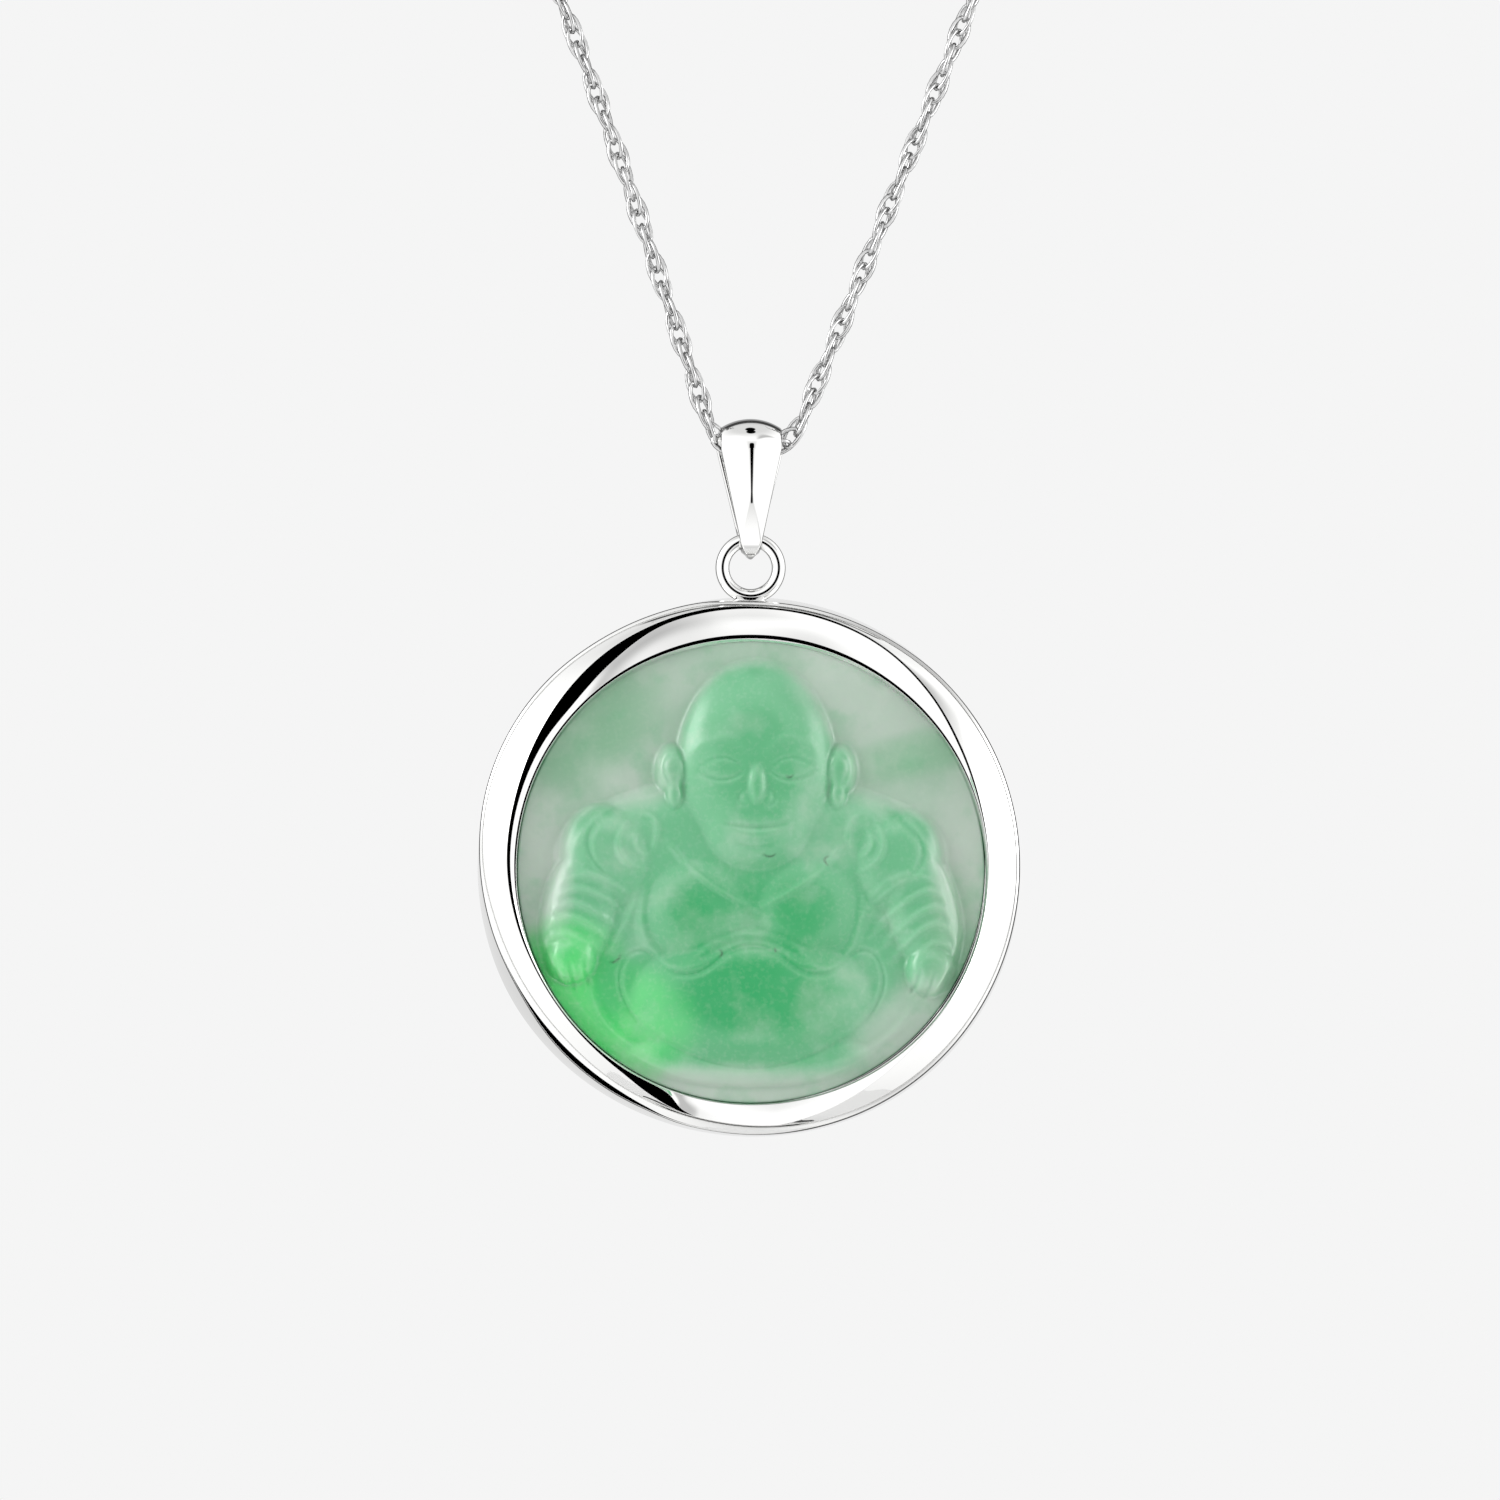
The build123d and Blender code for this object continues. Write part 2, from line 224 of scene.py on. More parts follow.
# Radii, and the widths of the narrow faces between them, from the back round to the jade
frame_sections = [
    # angle, back, edge, line, flat, facet, ridge outside, inside, depth, lip, flat, depth, wall
    (0, 13.714, 13.40, 0.05, 0.0, 0.11, 13.13, 12.99, 2.76, 11.52, 0.19, 2.36, 11.37),
    (15, 13.714, 13.40, 0.05, 0.0, 0.12, 13.095, 12.975, 2.72, 11.53, 0.185, 2.38, 11.38),
    (30, 13.695, 13.43, 0.05, 0.0, 0.14, 12.935, 12.835, 2.86, 11.55, 0.16, 2.48, 11.42),
    (45, 13.676, 13.50, 0.05, 0.0, 0.14, 12.565, 12.455, 3.02, 11.59, 0.13, 2.78, 11.50),
    (60, 13.657, 13.53, 0.07, 0.0, 0.13, 12.115, 11.995, 3.20, 11.64, 0.11, 3.05, 11.58),
    (75, 13.62, 13.50, 0.07, 0.0, 0.11, 11.87, 11.79, 3.32, 11.70, 0.06, 3.24, 11.64),
    (95, 13.60, 13.44, 0.07, 0.0, 0.10, 11.85, 11.84, 3.38, 11.79, 0.02, 3.35, 11.74),
    (115, 13.638, 13.42, 0.07, 0.0, 0.12, 11.90, 11.895, 3.40, 11.85, 0.02, 3.38, 11.80),
    (135, 13.62, 13.41, 0.07, 0.0, 0.15, 11.95, 11.945, 3.38, 11.85, 0.02, 3.35, 11.80),
    (150, 13.543, 13.38, 0.07, 0.0, 0.17, 12.25, 12.245, 3.28, 11.83, 0.02, 3.10, 11.78),
    (165, 13.43, 13.32, 0.07, 0.0, 0.20, 12.65, 12.645, 3.12, 11.78, 0.02, 2.85, 11.73),
    (178, 13.36, 13.27, 0.07, 0.0, 0.27, 12.92, 12.89, 3.02, 11.76, 0.02, 2.70, 11.69),
    (188, 13.33, 13.215, 0.07, 0.01, 0.32, 12.88, 12.79, 3.00, 11.76, 0.02, 2.66, 11.69),
    (196, 13.334, 13.19, 0.07, 0.03, 0.36, 12.65, 12.49, 3.00, 11.76, 0.02, 2.72, 11.69),
    (200, 13.34, 13.15, 0.05, 0.06, 0.37, 12.52, 11.98, 3.03, 11.76, 0.02, 2.85, 11.69),
    (204, 13.353, 13.12, 0.05, 0.12, 0.38, 12.37, 11.82, 3.06, 11.76, 0.02, 2.98, 11.69),
    (213, 13.39, 13.14, 0.05, 0.24, 0.44, 12.05, 11.82, 3.14, 11.76, 0.02, 3.10, 11.69),
    (228, 13.486, 13.15, 0.05, 0.24, 0.50, 11.90, 11.80, 3.28, 11.75, 0.02, 3.24, 11.69),
    (243, 13.58, 13.12, 0.05, 0.06, 0.32, 11.91, 11.82, 3.38, 11.76, 0.02, 3.34, 11.69),
    (258, 13.60, 13.345, 0.05, 0.0, 0.26, 12.07, 11.93, 3.40, 11.78, 0.05, 3.34, 11.69),
    (272, 13.62, 13.59, 0.05, 0.0, 0.10, 12.24, 12.06, 3.40, 11.76, 0.10, 3.32, 11.69),
    (287, 13.62, 13.83, 0.05, 0.0, 0.11, 12.34, 12.115, 3.40, 11.76, 0.11, 3.28, 11.68),
    (301, 13.62, 13.91, 0.05, 0.0, 0.12, 12.55, 12.14, 3.38, 11.75, 0.11, 3.22, 11.66),
    (313, 13.62, 13.88, 0.05, 0.0, 0.13, 12.785, 12.105, 3.28, 11.71, 0.12, 3.08, 11.60),
    (326, 13.64, 13.74, 0.05, 0.0, 0.12, 13.03, 12.445, 3.08, 11.64, 0.14, 2.84, 11.50),
    (339, 13.67, 13.635, 0.05, 0.0, 0.13, 13.15, 12.90, 2.90, 11.56, 0.17, 2.58, 11.41),
    (350, 13.70, 13.55, 0.05, 0.0, 0.12, 13.175, 12.99, 2.80, 11.53, 0.19, 2.42, 11.37),
]

# Jade
jade_r = 11.67
jade_back_depth = 0.65
jade_rim_depth = 2.2
jade_rim_round = 0.04
jade_gap = 0.04
jade_rim_steps = 4
jade_back_ring_share = 0.6
jade_roughness = 0.22
jade_ior = 1.6
jade_glow = 0.35
jade_glow_tint = (0.5, 1.0, 0.6)
jade_glow_depth = 0.5
relief_height = 1.5
relief_blend = 7.0
relief_rings = 160
relief_steps = 560
map_size = 700
map_last_cell = map_size - 1.001
form_blur = 5
# A line is drawn as short runs, in a window that goes some of its half widths and a margin past it
line_runs = 19
line_fade_shift = 0.025
window_widths = 4
window_margin = 5.0
# Places and sizes on the disc are in hundredths of its radius, and heights are shares of the
# relief's
disc_r = 100.0
carving_forms = [
    # name, across, up, half width, half height, lean, height
    ("robe", 0, -33, 89, 61, 0, 0.36),
    ("shoulders", 0, 6, 85, 35, 0, 0.50),
    ("upper body", 0, -16, 62, 40, 0, 0.56),
    ("lap", 0, -79, 56, 15, 0, 0.42),
    ("belly", 0, -55, 56, 32, 0, 0.86),
    ("left chest", -23, -17, 26, 25, 12, 0.70),
    ("right chest", 23, -17, 26, 25, -12, 0.70),
    ("left sleeve", -61, 5, 21, 24, 20, 0.60),
    ("right sleeve", 62, 3, 21, 24, -20, 0.60),
    ("left arm", -73, -17, 17, 34, -14, 0.58),
    ("right arm", 73, -17, 17, 34, 14, 0.58),
    ("left hand", -77, -38, 12, 12, 0, 0.72),
    ("right hand", 77, -43, 12, 12, 0, 0.72),
    ("head", 2, 43, 35, 47, 0, 0.90),
    ("jaw", 2, 18, 26, 23, 0, 0.86),
    ("nose", 2, 36, 5, 12, 0, 0.955),
]
# Lines cut into the forms or raised on them, each through three places
carving_lines = [
    # name, start, middle, end, half width, height
    ("left neckline", (-36, 12), (-20, -5), (2, -17), 1.6, 0.05),
    ("right neckline", (2, -17), (24, -5), (40, 12), 1.6, 0.05),
    ("left chest edge", (-45, -6), (-47, -24), (-41, -36), 2.2, 0.06),
    ("left chest foot", (-41, -36), (-34, -42), (-22, -41), 2.2, 0.05),
    ("right chest edge", (47, -10), (45, -27), (41, -36), 2.2, 0.06),
    ("right chest foot", (41, -36), (35, -42), (24, -41), 2.2, 0.05),
    ("chest hem", (-27, -40), (0, -28), (27, -40), 1.8, 0.05),
    ("left of the belly", (-53, -37), (-56, -52), (-45, -68), 1.2, -0.05),
    ("foot of the belly", (-45, -68), (0, -85), (45, -68), 1.2, -0.05),
    ("right of the belly", (45, -68), (56, -52), (53, -37), 1.2, -0.05),
    ("left of the belly's top", (-53, -37), (-46, -35), (-38, -41), 1.2, -0.04),
    ("belly's left dip", (-38, -41), (-26, -45), (-12, -37), 1.2, -0.05),
    ("belly's middle", (-12, -37), (0, -33), (12, -37), 1.2, -0.05),
    ("belly's right dip", (12, -37), (26, -45), (38, -41), 1.2, -0.05),
    ("right of the belly's top", (38, -41), (46, -35), (53, -37), 1.2, -0.04),
    ("left shoulder", (-45, 33), (-66, 26), (-78, 8), 1.6, -0.03),
    ("right shoulder", (47, 33), (67, 24), (79, 5), 1.6, -0.03),
    ("left sleeve roll", (-57, 27), (-70, 12), (-60, -5), 1.4, -0.05),
    ("right sleeve roll", (58, 26), (73, 8), (62, -8), 1.4, -0.05),
    ("left collar", (-52, 22), (-57, 8), (-47, 0), 1.4, 0.05),
    ("left collar turn", (-48, 24), (-41, 20), (-42, 8), 1.4, 0.05),
    ("left collar heart", (-49, 17), (-50, 10), (-45, 6), 1.2, 0.04),
    ("right collar", (52, 22), (56, 8), (46, -1), 1.4, 0.05),
    ("right collar turn", (47, 24), (42, 19), (42, 8), 1.4, 0.05),
    ("right collar heart", (49, 17), (51, 10), (46, 5), 1.2, 0.04),
    ("left cuff one", (-87, -25), (-77, -21), (-62, -30), 1.4, 0.06),
    ("left cuff two", (-85, -19), (-75, -15), (-58, -25), 1.4, 0.06),
    ("left cuff three", (-82, -12), (-71, -9), (-54, -19), 1.4, 0.06),
    ("left cuff four", (-80, -5), (-67, -3), (-51, -12), 1.4, 0.05),
    ("left inner sleeve", (-48, -6), (-53, -22), (-60, -36), 1.6, 0.04),
    ("right cuff one", (87, -31), (77, -24), (59, -40), 1.4, 0.06),
    ("right cuff two", (85, -24), (76, -17), (54, -35), 1.4, 0.06),
    ("right cuff three", (83, -16), (73, -10), (50, -29), 1.4, 0.06),
    ("right cuff four", (81, -8), (67, -4), (48, -20), 1.4, 0.05),
    ("right inner sleeve", (72, -1), (55, -8), (47, -22), 1.6, 0.04),
    ("left cuff hem", (-89, -32), (-80, -28), (-66, -34), 1.6, 0.06),
    ("right cuff hem", (88, -40), (79, -32), (64, -44), 1.6, 0.06),
    ("left first finger", (-84, -40), (-83, -46), (-80, -50), 1, -0.06),
    ("left middle finger", (-78, -40), (-77, -46), (-75, -51), 1, -0.06),
    ("left last finger", (-72, -39), (-71, -45), (-69, -49), 1, -0.06),
    ("right first finger", (84, -45), (82, -51), (79, -55), 1, -0.06),
    ("right middle finger", (78, -45), (76, -51), (74, -55), 1, -0.06),
    ("right last finger", (72, -44), (70, -50), (68, -53), 1, -0.06),
    ("left knee", (-68, -50), (-60, -68), (-38, -82), 2, 0.06),
    ("right knee", (70, -54), (60, -70), (38, -82), 2, 0.06),
    ("mouth", (-11, 19.5), (2, 17.5), (15, 19.5), 1.1, -0.05),
    ("upper lip", (-8, 21.2), (2, 21.5), (12, 21.2), 1.4, 0.02),
    ("lower lip", (-7, 15.5), (2, 14), (11, 15.5), 1.8, 0.03),
    ("under the lip", (-6, 11.5), (2, 10), (10, 11.5), 1.6, -0.025),
]
# Forms and lines of the head's left side, which its right side mirrors
face_middle = 2.0
face_forms = [
    ("ear", -34, 42, 7, 12, 0, 0.50),
    ("lobe", -33, 32, 4.5, 8, 0, 0.48),
]
# A line's way round is 1 where its mirror runs the same way, and -1 where it runs back
face_lines = [
    ("ear rim", 1, (-37, 53), (-41, 43), (-37, 31), 1.2, 0.05),
    ("ear hollow", 1, (-35, 49), (-37.5, 43), (-35, 36), 1, -0.05),
    ("brow", -1, (-25, 50), (-13, 56), (-2, 49), 2.4, 0.035),
    ("upper lid", -1, (-22, 44), (-12, 47.5), (-4, 43), 1, -0.025),
    ("closed lid", -1, (-23, 42), (-13, 38), (-4, 41.5), 1, -0.045),
    ("nostril", 1, (-4.5, 33), (-5.5, 29), (-2, 27), 1.2, -0.035),
]
for name, x, z, *form in face_forms:
    carving_forms += [(name, x, z, *form), (name, 2 * face_middle - x, z, *form)]
for name, way_round, *places, half_width, height in face_lines:
    other_side = [(2 * face_middle - x, z) for x, z in places][::way_round]
    carving_lines += [
        (name, *places, half_width, height), (name, *other_side, half_width, height)]

# Noise over the stone's colours, with scales per metre and shades in sRGB
jade_noises = [
    # name, scale, detail, from, to, shade, strength
    ("clouds", 420.0, 7.0, 0.48, 0.72, (216, 226, 216), 0.28),
    ("green veins", 600.0, 6.0, 0.52, 0.74, (100, 184, 132), 0.35),
    ("grain", 4200.0, 3.0, 0.50, 0.76, (206, 220, 208), 0.10),
]
# Colours of the stone, in sRGB
ground_colour = (170, 198, 177)
figure_colour = (116, 190, 144)
rim_colour = (66, 128, 88)
stone_colours = {
    "pale": (196, 210, 198),
    "haze": (138, 188, 152),
    "deep": (62, 174, 108),
    "vivid": (92, 220, 122),
}
patch_spread = 1.4
figure_full_height = 0.3
figure_blur = 8
stone_patches = [
    # name, colour, across, up, half width, half height, lean, strength
    ("cloud upper right", "pale", 52, 72, 34, 20, -35, 0.7),
    ("cloud upper left", "pale", -42, 76, 24, 10, 30, 0.5),
    ("cloud by the left ear", "pale", -48, 40, 14, 14, 0, 0.5),
    ("cloud on the left", "pale", -90, 2, 12, 30, 0, 0.8),
    ("cloud on the right", "pale", 90, 5, 12, 34, 0, 0.8),
    ("cloud lower right", "pale", 68, -66, 30, 14, 40, 0.6),
    ("cloud at the foot", "pale", -10, -93, 50, 9, 0, 0.8),
    ("haze upper left", "haze", -68, 60, 32, 18, 40, 0.8),
    ("haze right", "haze", 74, 50, 34, 9, 14, 0.7),
    ("haze lower right", "haze", 86, -30, 12, 26, 0, 0.6),
    ("belly", "deep", -2, -50, 42, 22, 0, 0.9),
    ("belly's foot", "deep", -6, -70, 44, 16, 0, 0.5),
    ("chest", "deep", 0, -20, 42, 22, 0, 0.65),
    ("left of the chest", "deep", -25, -24, 8, 13, 0, 0.6),
    ("right of the chest", "deep", 20, -22, 8, 13, 15, 0.5),
    ("head", "deep", 2, 40, 24, 32, 0, 0.25),
    ("left hand", "vivid", -78, -40, 20, 18, 0, 0.8),
    ("lower left rim", "vivid", -70, -62, 14, 36, 42, 1.0),
    ("left of the lap", "vivid", -50, -64, 24, 20, -30, 0.7),
    ("left shade", "deep", -60, -47, 9, 18, 0, 0.5),
]
# Fine dark hairs in the stone, each through three places
stone_hairs = [
    ((14.5, 39.7), (16, 39), (17.5, 40)),
    ((4.5, 6.3), (7.5, 5.2), (10, 6.3)),
    ((33, 5.5), (31.2, 4), (32.5, 1.5)),
    ((-56, -36.5), (-57.5, -39.2), (-60.5, -40)),
    ((-14, -34.5), (-12.8, -36.2), (-14, -37.8)),
    ((9.7, -34), (10, -35), (10.3, -35.2)),
]
hair_width = 0.4
hair_colour = (56, 92, 66)
hair_limit = 0.85
rim_fade = 6.0
rim_colour_start = 11.60
# Painted light from the relief: a paler painted highlight on crests and a darker green painted
# shade in hollows
crest_highlight_colour = (206, 228, 210)
hollow_shade_colour = (84, 160, 112)
crest_strength = 9.0
crest_reach = 9
crest_highlight_limit = 0.6
hollow_shade_limit = 0.35


def srgb(red, green, blue):
    """A colour given as 0 to 255 in sRGB, as linear values."""
    linear = []
    for value in (red / 255, green / 255, blue / 255):
        linear.append(value / 12.92 if value <= 0.04045 else ((value + 0.055) / 1.055) ** 2.4)
    return (*linear, 1.0)


def unit(vectors):
    """Vectors brought to length 1."""
    return vectors / np.linalg.norm(vectors, axis=-1, keepdims=True)


def new_object(name, points, faces):
    """An object in the scene, its mesh from points in millimetres."""
    mesh = bpy.data.meshes.new(name)
    mesh.from_pydata((np.asarray(points) * MM).tolist(), [], faces)
    made = bpy.data.objects.new(name, mesh)
    bpy.context.scene.collection.objects.link(made)
    return made


def new_piece(name, points, faces, material, body, replaced):
    """A piece of the necklace, with its finish, what it rides on and what it stands for."""
    piece = new_object(name, points, faces)
    piece.data.validate()
    piece.data.update()
    piece.data.shade_smooth()
    piece.data.materials.append(material)
    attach(piece, body)
    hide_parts(*replaced)
    return piece


def wrapped_grid(rows, columns):
    """The quads of a grid that closes on itself both ways."""
    faces = []
    for row in range(rows):
        after = (row + 1) % rows
        for column in range(columns):
            beside = (column + 1) % columns
            faces.append((
                row * columns + column, row * columns + beside,
                after * columns + beside, after * columns + column))
    return faces


def smooth_min(first, second, softness):
    """The lower of two surfaces, with the crease between them rounded."""
    share = np.clip(0.5 + 0.5 * (second - first) / softness, 0.0, 1.0)
    return second * (1 - share) + first * share - softness * share * (1 - share)


def curve(start, corner, end, share):
    """A point on the rounding between two places, round their corner."""
    first, last = (1 - share) ** 2, share ** 2
    middle = 2 * share * (1 - share)
    return tuple(first * a + middle * b + last * c for a, b, c in zip(start, corner, end))


# Materials

def fill(node, values):
    """Sets constants on a node's own sockets."""
    for socket, value in values.items():
        node.inputs[socket].default_value = value
    return node


def new_material(name, values):
    """A material, and its shader with these constants."""
    material = bpy.data.materials.new(name)
    material.use_nodes = True
    return material, fill(material.node_tree.nodes["Principled BSDF"], values)


def noise_level(tree, noise_values, level_values):
    """A level that follows a noise through the piece."""
    place = tree.nodes.new("ShaderNodeTexCoord")
    noise = fill(tree.nodes.new("ShaderNodeTexNoise"), noise_values)
    level = fill(tree.nodes.new("ShaderNodeMapRange"), level_values)
    tree.links.new(place.outputs["Object"], noise.inputs["Vector"])
    tree.links.new(noise.outputs["Fac"], level.inputs["Value"])
    return level.outputs["Result"]


def colour_mix(tree, share, values):
    """A mix of two colours by a share."""
    mixed = tree.nodes.new("ShaderNodeMix")
    mixed.data_type = "RGBA"
    tree.links.new(share, mixed.inputs["Factor"])
    return fill(mixed, values)


def metal(name, colour, roughness, edge_shade):
    """Polished silver, rougher from place to place, with painted shade that darkens its colour
    where it turns away.
    """
    material, shader = new_material(name, {"Metallic": 1.0})
    tree = material.node_tree
    level = noise_level(tree, {"Scale": silver_noise_scale}, {
        "To Min": roughness * silver_smoothest, "To Max": roughness * silver_roughest})
    tree.links.new(level, shader.inputs["Roughness"])
    # Painted shade: the colour is drawn towards black where the surface turns away from the eye
    turned = tree.nodes.new("ShaderNodeLayerWeight")
    fade = fill(tree.nodes.new("ShaderNodeMapRange"), {
        "From Min": silver_shade_start, "From Max": silver_shade_full, "To Max": edge_shade})
    tree.links.new(turned.outputs["Facing"], fade.inputs["Value"])
    tone = colour_mix(tree, fade.outputs["Result"], {"A": colour, "B": (0.0, 0.0, 0.0, 1.0)})
    tree.links.new(tone.outputs["Result"], shader.inputs["Base Color"])
    return material


def jade_material():
    """Polished translucent jade: the carving's colours, with their painted highlight and shade,
    clouded and specked by noise.
    """
    material, shader = new_material("jade_stone", {
        "Roughness": jade_roughness, "IOR": jade_ior, "Subsurface Weight": jade_glow,
        "Subsurface Radius": jade_glow_tint, "Subsurface Scale": jade_glow_depth * MM})
    tree = material.node_tree
    colour = tree.nodes.new("ShaderNodeAttribute")
    colour.attribute_name = "stone_colour_and_shading"
    last = colour.outputs["Color"]
    for _, scale, detail, low, high, shade, strength in jade_noises:
        level = noise_level(tree, {"Scale": scale, "Detail": detail}, {
            "From Min": low, "From Max": high, "To Max": strength})
        mixed = colour_mix(tree, level, {"B": srgb(*shade)})
        tree.links.new(last, mixed.inputs["A"])
        last = mixed.outputs["Result"]
    tree.links.new(last, shader.inputs["Base Color"])
    return material


# Chain

def filleted(points):
    """A route as a dense line: straight runs joined by arcs as large as the runs allow."""
    points = [Vector(point) for point in points]
    line = [points[0]]
    for before, corner, after in zip(points, points[1:], points[2:]):
        back, on = before - corner, after - corner
        reach = bend_share * min(back.length, on.length)
        half_turn = (math.pi - back.angle(on)) / 2
        radius = reach / math.tan(half_turn)
        middle = (back.normalized() + on.normalized()).normalized()
        centre = corner + middle * (radius / math.cos(half_turn))
        start = corner + back.normalized() * reach - centre
        end = corner + on.normalized() * reach - centre
        steps = max(arc_least_steps, int(2 * half_turn * radius / arc_step))
        turn = start.angle(end)
        for step in range(steps + 1):
            share = step / steps
            first = math.sin((1 - share) * turn) / math.sin(turn)
            second = math.sin(share * turn) / math.sin(turn)
            line.append(centre + start * first + end * second)
    line.append(points[-1])
    return np.array([tuple(point) for point in line])


def along(spots, stations, places):
    """Places at some lengths along a line, from its places at known lengths."""
    return np.array([np.interp(spots, stations, places[:, axis]) for axis in range(3)]).T


def chain_line(side, sign):
    """A side's dense line, its length at each point, and its length at the last link's middle."""
    line = filleted(chain_legs[side] + [(sign * x, y, z) for x, y, z in chain_round_neck])
    stations = np.concatenate([[0], np.cumsum(np.linalg.norm(np.diff(line, axis=0), axis=1))])
    # The last link reaches through the clasp's eye, so the line runs on straight
    end_way = unit(line[-1] - line[-2])
    eye_wire_x = clasp_eye_x + (clasp_eye_d - clasp_eye_wire_d) / 2
    last_end_x = eye_wire_x - (clasp_eye_wire_d + link_wire_d) / 2 - link_slack
    last_station = stations[-1] + (abs(line[-1][0]) - last_end_x) - link_length / 2
    line = np.vstack([line, line[-1] + end_way * link_length])
    return line, np.append(stations, stations[-1] + link_length), last_station


def carried_fronts(places):
    """The side of a line that faces the front at its start, carried along it without twist."""
    fronts = [np.array([0.0, -1.0, 0.0])]
    for way in unit(np.diff(places, axis=0))[1:]:
        fronts.append(unit(fronts[-1] - way * np.dot(fronts[-1], way)))
    return np.array(fronts)


def link_skins(middles, ways, wide):
    """Points and quads of oval links with these middles, ways along, and ways that are wide."""
    ring = np.arange(link_steps) * 2 * math.pi / link_steps
    wire = np.arange(wire_steps) * 2 * math.pi / wire_steps
    half_length, half_width = link_length / 2, (link_width - link_wire_d) / 2
    along, aside = half_length * np.cos(ring), half_width * np.sin(ring)
    out = unit(np.stack([half_width * np.cos(ring), half_length * np.sin(ring)], axis=1))
    along = along[:, None] + out[:, :1] * np.cos(wire)[None, :] * link_wire_d / 2
    aside = aside[:, None] + out[:, 1:] * np.cos(wire)[None, :] * link_wire_d / 2
    lift = np.broadcast_to(np.sin(wire)[None, :] * link_wire_d / 2, along.shape)
    thin = np.cross(ways, wide)
    points = (
        middles[:, None, None, :]
        + ways[:, None, None, :] * along[None, :, :, None]
        + wide[:, None, None, :] * aside[None, :, :, None]
        + thin[:, None, None, :] * lift[None, :, :, None])
    grid = np.array(wrapped_grid(link_steps, wire_steps))
    firsts = np.arange(len(middles))[:, None, None] * link_steps * wire_steps
    return points.reshape(-1, 3), (grid[None, :, :] + firsts).reshape(-1, 4).tolist()


def chain_links(side):
    """One half of the chain: oval links, each through the next but one, turning like a rope."""
    sign = 1 if side == "right" else -1
    line, stations, last_station = chain_line(side, sign)
    count = round(last_station / chain_pitch + 0.5)
    centres = (np.arange(count) + 0.5) * last_station / (count - 0.5)
    # A link that starts beyond the middle of the bail starts on the other half of the route
    starts = centres - link_length / 2
    begins = along(np.abs(starts), stations, line)
    begins[starts < 0, 0] *= -1
    ends = along(centres + link_length / 2, stations, line)
    ways = unit(ends - begins) * sign
    steps = np.linspace(0, stations[-1], front_steps)
    fronts = along(centres, steps[:-1], carried_fronts(along(steps, stations, line)))
    fronts = unit(fronts - ways * np.sum(fronts * ways, axis=1)[:, None])
    across = np.cross(ways, fronts)

    # The last link lies square to the clasp's eye, so the turn from link to link is fitted to that
    last_turn = math.degrees(math.atan2(across[-1][1], fronts[-1][1]))
    wanted = chain_phase + chain_turn * sign * centres[-1] / chain_pitch
    half_turns = round((wanted - last_turn) / 180)
    slope = (last_turn + 180 * half_turns - chain_phase) / centres[-1]
    turns = np.radians(chain_phase + slope * centres)
    wide = fronts * np.cos(turns)[:, None] + across * np.sin(turns)[:, None]
    points, faces = link_skins((begins + ends) / 2, ways, wide)
    new_piece(
        f"chain_links_{side}", points, faces, chain_silver, "chain",
        [f"chain_{side}"])


def torus(centre, radius, wire_r, steps):
    """Points and quads of a ring that stands square to the front."""
    ring_steps, round_steps = steps
    points = []
    for step in range(ring_steps):
        turn = 2 * math.pi * step / ring_steps
        for round_step in range(round_steps):
            roll = 2 * math.pi * round_step / round_steps
            reach = radius + wire_r * math.cos(roll)
            points.append((
                centre[0] + reach * math.sin(turn),
                centre[1] - wire_r * math.sin(roll),
                centre[2] + reach * math.cos(turn)))
    return points, wrapped_grid(ring_steps, round_steps)


def merge(piece, points, faces):
    """Joins a closed solid to a piece, so that the two are one skin."""
    solid = new_object("joined_solid", points, faces)
    union = piece.modifiers.new("union", "BOOLEAN")
    union.operation = "UNION"
    union.solver = "EXACT"
    union.object = solid
    bpy.context.view_layer.update()
    graph = bpy.context.evaluated_depsgraph_get()
    joined = bpy.data.meshes.new_from_object(piece.evaluated_get(graph))
    piece.modifiers.remove(union)
    piece.data = joined
    joined.shade_smooth()
    mesh = solid.data
    bpy.data.objects.remove(solid)
    bpy.data.meshes.remove(mesh)


def clasp():
    """The plain clasp: a ring with an eye on each side for the chain's last links."""
    y, z = chain_round_neck[-1][1:]
    points, faces = torus(
        (0.0, y, z), (clasp_ring_d - clasp_wire_d) / 2, clasp_wire_d / 2, clasp_ring_steps)
    piece = new_piece("clasp_ring", points, faces, clasp_silver, "chain", ["clasp"])
    eye_r, eye_wire_r = (clasp_eye_d - clasp_eye_wire_d) / 2, clasp_eye_wire_d / 2
    for x in (-clasp_eye_x, clasp_eye_x):
        merge(piece, *torus((x, y, z), eye_r, eye_wire_r, clasp_eye_steps))


# Bail, by height above the chain's axis and turn round the strap: 0 at the front, a half turn at
# the back, over the top between them and under the foot after them

def bail_half(up):
    """Half the strap's width."""
    return bail_half_top + (bail_half_foot - bail_half_top) * np.maximum(-up, 0.0) / bail_drop


def foot_half(below):
    """Half the foot's width at a depth below the wire's axis."""
    share = np.clip(below / bail_foot_r, 0.0, 1.0)
    return bail_half(-bail_drop - below) * np.sqrt(1 - (bail_foot_round * share) ** 2)


def gable(across, up):
    """How far out the ridged face lies at places across."""
    share = max(-up, 0.0) / bail_drop
    cheek = bail_cheek + (bail_foot_cheek - bail_cheek) * share
    away = np.sqrt((across / bail_half(up)) ** 2 + bail_ridge_softness ** 2) - bail_ridge_softness
    return cheek + bail_ridge_rise * (1 - away)


def dome(across):
    """How far out the domed top lies at places across."""
    return bail_dome_edge + np.sqrt(dome_radius ** 2 - across ** 2) - (dome_radius - bail_dome_rise)


def facet_bow(share):
    """How far the facet swells at a share of its length."""
    return 4 * share * (1 - share) * bail_facet_bow


def facet(up):
    """How far out the facet lies."""
    bow = facet_bow((-up - bail_facet_drop) / facet_length)
    return (bail_foot_r + (up + bail_drop) * math.sin(facet_lean)) / math.cos(facet_lean) + bow


